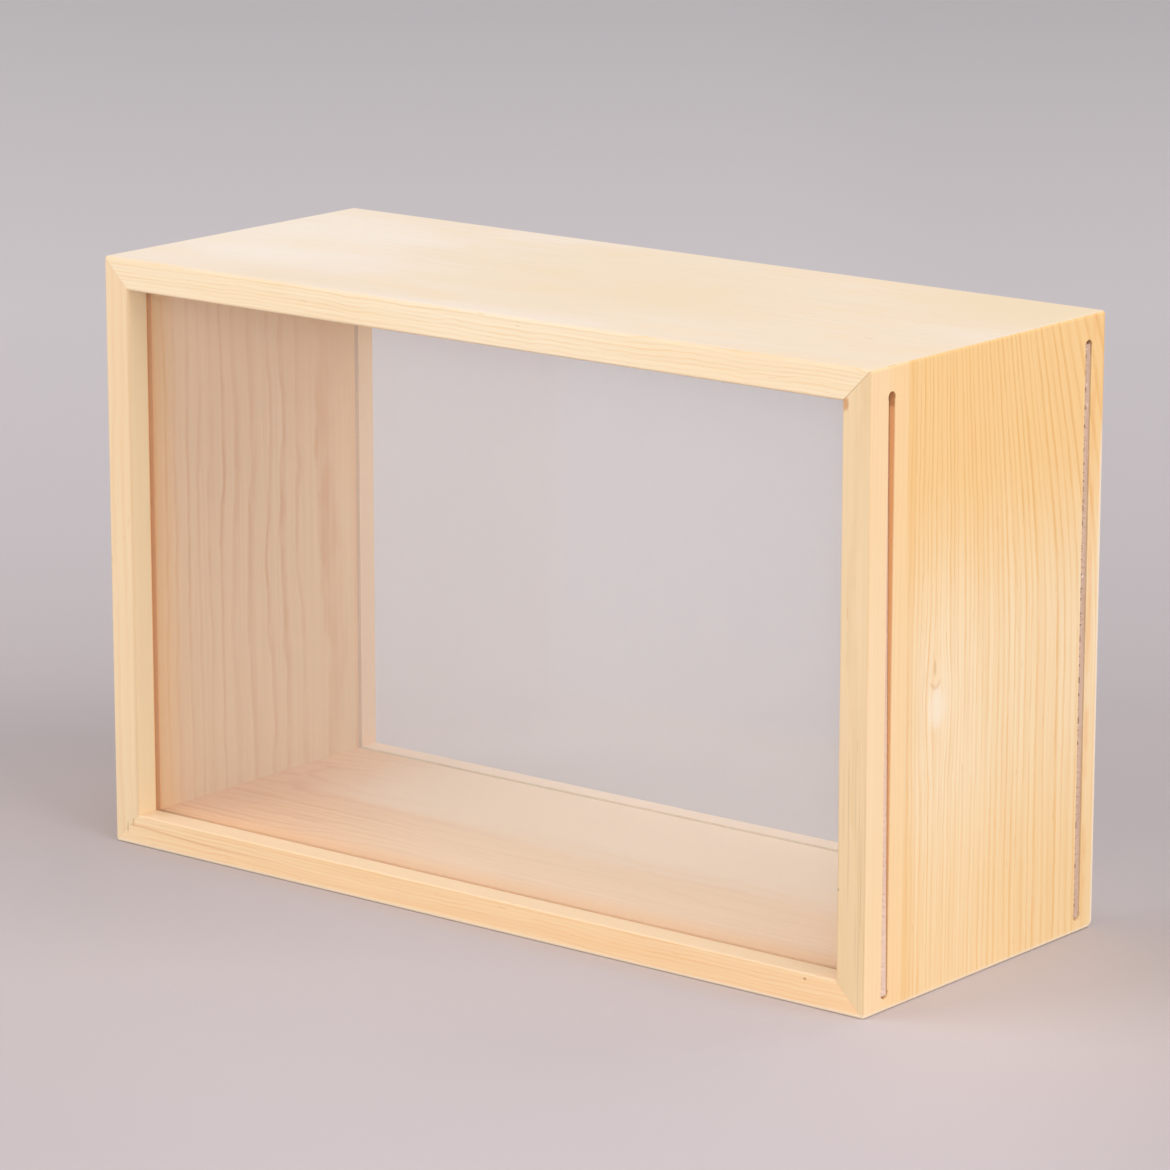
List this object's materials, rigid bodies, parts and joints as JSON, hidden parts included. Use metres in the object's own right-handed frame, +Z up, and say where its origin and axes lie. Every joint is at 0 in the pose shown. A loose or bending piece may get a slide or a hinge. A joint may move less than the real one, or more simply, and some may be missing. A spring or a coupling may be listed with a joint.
{
  "type": "display box",
  "caption": "Open pine box frame, mitred at the corners, closed front and back by clear panels that slide in through slots in its right side",
  "frame": {"origin": "middle of the base, on the surface that the box stands on", "axes": "+X to the right as the front is looked at, towards the slotted side; +Y from front to rear; +Z up"},
  "size_m": [0.28, 0.112, 0.18],
  "materials": {
    "pine": "sanded, unfinished",
    "spline_wood": "sawn hardwood strip",
    "acrylic": "clear, polished faces, sawn edges"
  },
  "bodies": {
    "case": {"bottom_board": "pine", "top_board": "pine", "left_board": "pine", "right_board": "pine", "bottom_left_spline": "spline_wood", "bottom_right_spline": "spline_wood", "top_left_spline": "spline_wood", "top_right_spline": "spline_wood"},
    "front_panel": {"front_panel": "acrylic"},
    "rear_panel": {"rear_panel": "acrylic"}
  },
  "joints": [
    {"name": "front_panel_slide", "type": "slide", "parent": "case", "child": "front_panel", "axis": [1, 0, 0], "range_m": [0, 0.28]},
    {"name": "rear_panel_slide", "type": "slide", "parent": "case", "child": "rear_panel", "axis": [1, 0, 0], "range_m": [0, 0.28]}
  ]
}
